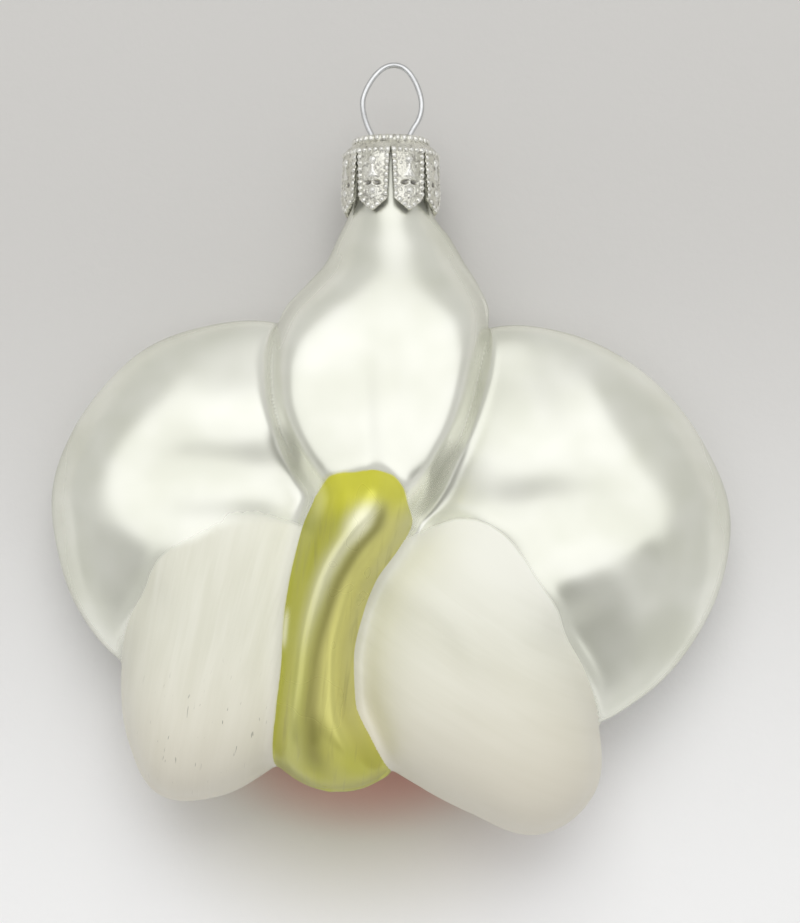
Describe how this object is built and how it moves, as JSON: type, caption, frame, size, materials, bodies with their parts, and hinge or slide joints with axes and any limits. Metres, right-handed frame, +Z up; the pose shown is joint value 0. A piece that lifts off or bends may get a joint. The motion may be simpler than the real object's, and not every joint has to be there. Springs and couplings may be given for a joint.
{
  "type": "blown glass orchid ornament",
  "caption": "Hollow blown-glass ornament shaped as a moth-orchid blossom, with a stamped metal crown cap and a wire loop to hang it by.",
  "frame": {"origin": "top of the inside of the wire loop, where a hook bears", "axes": "+Z up, from the bloom to the loop; the flower's face looks along -Y; +X is to the right seen from the front"},
  "size_m": [0.0898, 0.028, 0.1007],
  "materials": {
    "pearl_glass": "opaque pearl-white lacquer over silvered glass, with matte white lower sepals and a glossy yellow-green lip",
    "cap_metal": "bright stamped silver-coloured sheet",
    "wire_steel": "drawn spring wire"
  },
  "bodies": {
    "root": {"glass_bloom": "pearl_glass", "crown_cap": "cap_metal", "wire_hanger": "wire_steel"}
  },
  "joints": []
}
